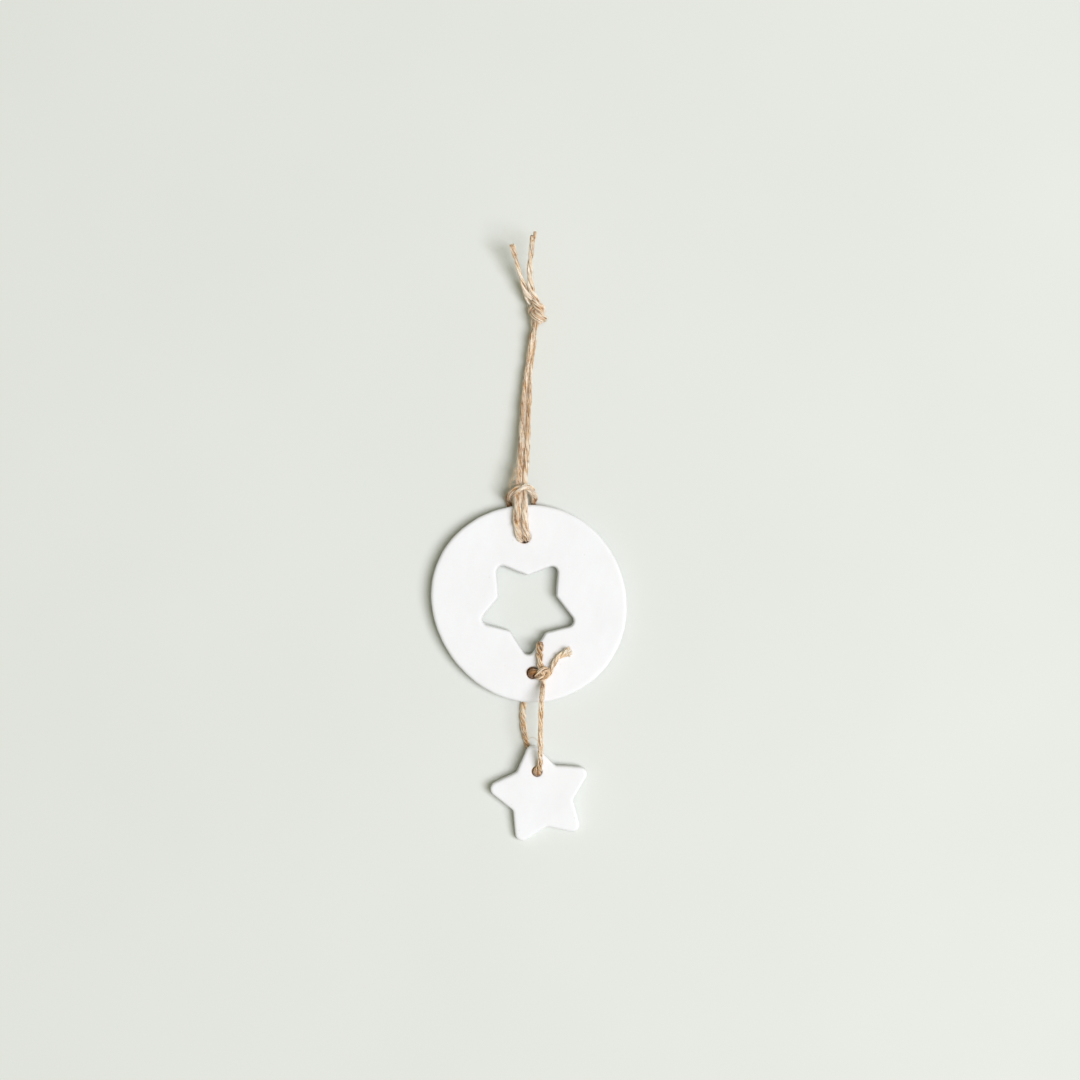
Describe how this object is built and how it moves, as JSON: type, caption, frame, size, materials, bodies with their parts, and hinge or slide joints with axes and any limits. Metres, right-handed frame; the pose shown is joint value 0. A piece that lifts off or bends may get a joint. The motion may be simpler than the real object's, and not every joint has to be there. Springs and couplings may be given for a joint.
{
  "type": "hanging clay ornament",
  "caption": "Round flat clay disc with a star cut out of it, on a knotted jute hanging loop, with the cut-out star tied below on a second thinner twine",
  "frame": {"origin": "On the table under the middle of the clay and its ties (the disc, its hitch and the hanging star), with the ornament lying on its back", "axes": "+X to the right and +Y towards the hanging loop as the front is seen, +Z out of the front face, up from the table"},
  "size_m": [0.0752, 0.2343, 0.0199],
  "materials": {
    "disc_clay": "matte white air-dried clay, softened edges",
    "star_clay": "matte white air-dried clay, softened edges",
    "loop_jute": "natural jute, 2 mm two-ply twine, loose fibres",
    "link_jute": "natural jute, 1.8 mm two-ply twine, loose fibres"
  },
  "bodies": {
    "disc": {"clay_disc": "disc_clay", "hanger_hitch": "loop_jute"},
    "hanger_neck": {"hanger_neck_left": "loop_jute", "hanger_neck_right": "loop_jute"},
    "hanger_fold": {"hanger_strand_left": "loop_jute", "hanger_strand_right": "loop_jute"},
    "hanger_loop": {"hanger_loop_left": "loop_jute", "hanger_loop_right": "loop_jute", "hanger_knot": "loop_jute", "hanger_tail_left": "loop_jute", "hanger_tail_right": "loop_jute"},
    "link": {"link_knot": "link_jute", "link_tail_up": "link_jute", "link_tail_side": "link_jute", "link_strand_back": "link_jute", "link_strand_front": "link_jute"},
    "star_tie": {"link_star_bight": "link_jute"},
    "star": {"clay_star": "star_clay"}
  },
  "joints": [
    {"name": "hanger_swing_joint", "type": "hinge", "parent": "disc", "child": "hanger_neck", "pos_m": [-0.0028, 0.0705, 0.007], "axis": [0, 0, 1], "range_deg": [-50, 50]},
    {"name": "hanger_fold_joint", "type": "hinge", "parent": "hanger_neck", "child": "hanger_fold", "pos_m": [-0.0022, 0.0797, 0.00605], "axis": [1, 0, 0], "range_deg": [-120, 120]},
    {"name": "hanger_twist_joint", "type": "hinge", "parent": "hanger_fold", "child": "hanger_loop", "pos_m": [-0.0017, 0.092, 0.0048], "axis": [0.0403, 0.9939, -0.103], "range_deg": [-180, 180]},
    {"name": "link_swing_joint", "type": "hinge", "parent": "disc", "child": "link", "pos_m": [0.0012, -0.0058, 0.0048], "axis": [0, 0, 1], "range_deg": [-45, 45]},
    {"name": "link_twist_joint", "type": "hinge", "parent": "link", "child": "star_tie", "pos_m": [0.0012, -0.0246, 0.0072], "axis": [0.088, -0.9834, -0.1584], "range_deg": [-180, 180]},
    {"name": "star_turn_joint", "type": "hinge", "parent": "star_tie", "child": "star", "pos_m": [0.0029, -0.0436, 0.00414], "axis": [0, -0.0785, 0.9969], "range_deg": [-60, 60]}
  ]
}
